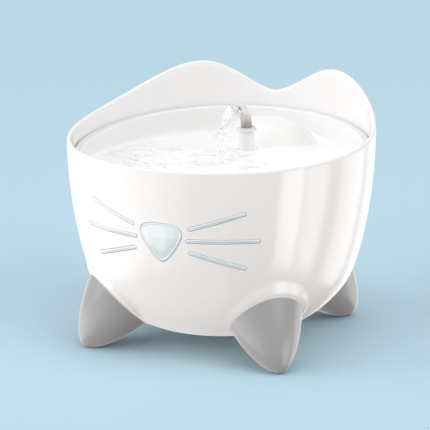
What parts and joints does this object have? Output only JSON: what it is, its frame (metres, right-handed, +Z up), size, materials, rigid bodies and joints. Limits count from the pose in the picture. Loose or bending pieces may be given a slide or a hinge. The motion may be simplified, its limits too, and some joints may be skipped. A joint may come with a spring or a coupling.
{
  "type": "pet water fountain",
  "caption": "Footed pet drinking fountain: eared white bowl with nose and whisker windows, lift-out tilted tray with a spout, and a filtered pump inside.",
  "frame": {"origin": "on the ground, in the middle of the fountain", "axes": "+Z up, -Y towards the nose side, +Y towards the ears, +X to the right seen from the nose"},
  "size_m": [0.23, 0.23, 0.1898],
  "materials": {
    "bowl_white": "high gloss moulded",
    "window_blue": "polished, translucent",
    "leg_grey": "satin, soft to the touch",
    "foot_rubber": "matt",
    "tray_white": "gloss moulded",
    "spout_grey": "gloss moulded",
    "seal_rubber": "matt",
    "riser_silicone": "smooth, milky",
    "box_clear": "smooth, lightly tinted",
    "filter_foam": "open-cell foam and felt",
    "pump_white": "fine moulded texture",
    "impeller_blue": "smooth",
    "magnet_black": "sintered, coated",
    "shaft_ceramic": "ground ceramic",
    "core_steel": "laminated",
    "coil_copper": "enamelled wire"
  },
  "bodies": {
    "reservoir": {"shell": "bowl_white", "nose_window": "window_blue", "whisker_window_left": "window_blue", "whisker_window_right": "window_blue", "leg_front_left": "leg_grey", "leg_front_right": "leg_grey", "leg_rear_left": "leg_grey", "leg_rear_right": "leg_grey", "foot_pad_front_left": "foot_rubber", "foot_pad_front_right": "foot_rubber", "foot_pad_rear_left": "foot_rubber", "foot_pad_rear_right": "foot_rubber", "riser_tube": "riser_silicone", "filter_box": "box_clear", "filter_plate": "box_clear", "filter_pad": "filter_foam", "filter_cap": "box_clear", "pump_housing": "pump_white", "pump_base": "pump_white", "volute_cover": "pump_white", "intake_strainer": "pump_white", "rotor_shaft": "shaft_ceramic", "bearing_inner": "seal_rubber", "bearing_outer": "seal_rubber", "stator_core": "core_steel", "stator_coil": "coil_copper", "pump_gland": "seal_rubber", "suction_cup_1": "foot_rubber", "suction_cup_2": "foot_rubber", "suction_cup_3": "foot_rubber", "suction_cup_4": "foot_rubber", "cord_grommet": "tray_white"},
    "tray": {"drinking_tray": "tray_white"},
    "spout": {"spout": "spout_grey", "spout_seal": "seal_rubber"},
    "rotor": {"impeller": "impeller_blue", "rotor_magnet": "magnet_black"}
  },
  "joints": [
    {"name": "tray_lift", "type": "slide", "parent": "reservoir", "child": "tray", "axis": [0, 0, 1], "range_m": [0, 0.09]},
    {"name": "spout_swivel", "type": "hinge", "parent": "tray", "child": "spout", "pos_m": [0, 0.05204, 0.14584], "axis": [0, -0.0986, 0.9951], "range_deg": [-45, 45]},
    {"name": "impeller_spin", "type": "hinge", "parent": "reservoir", "child": "rotor", "pos_m": [0, 0.05413, 0.0513], "axis": [0, 1, 0], "continuous": true}
  ]
}
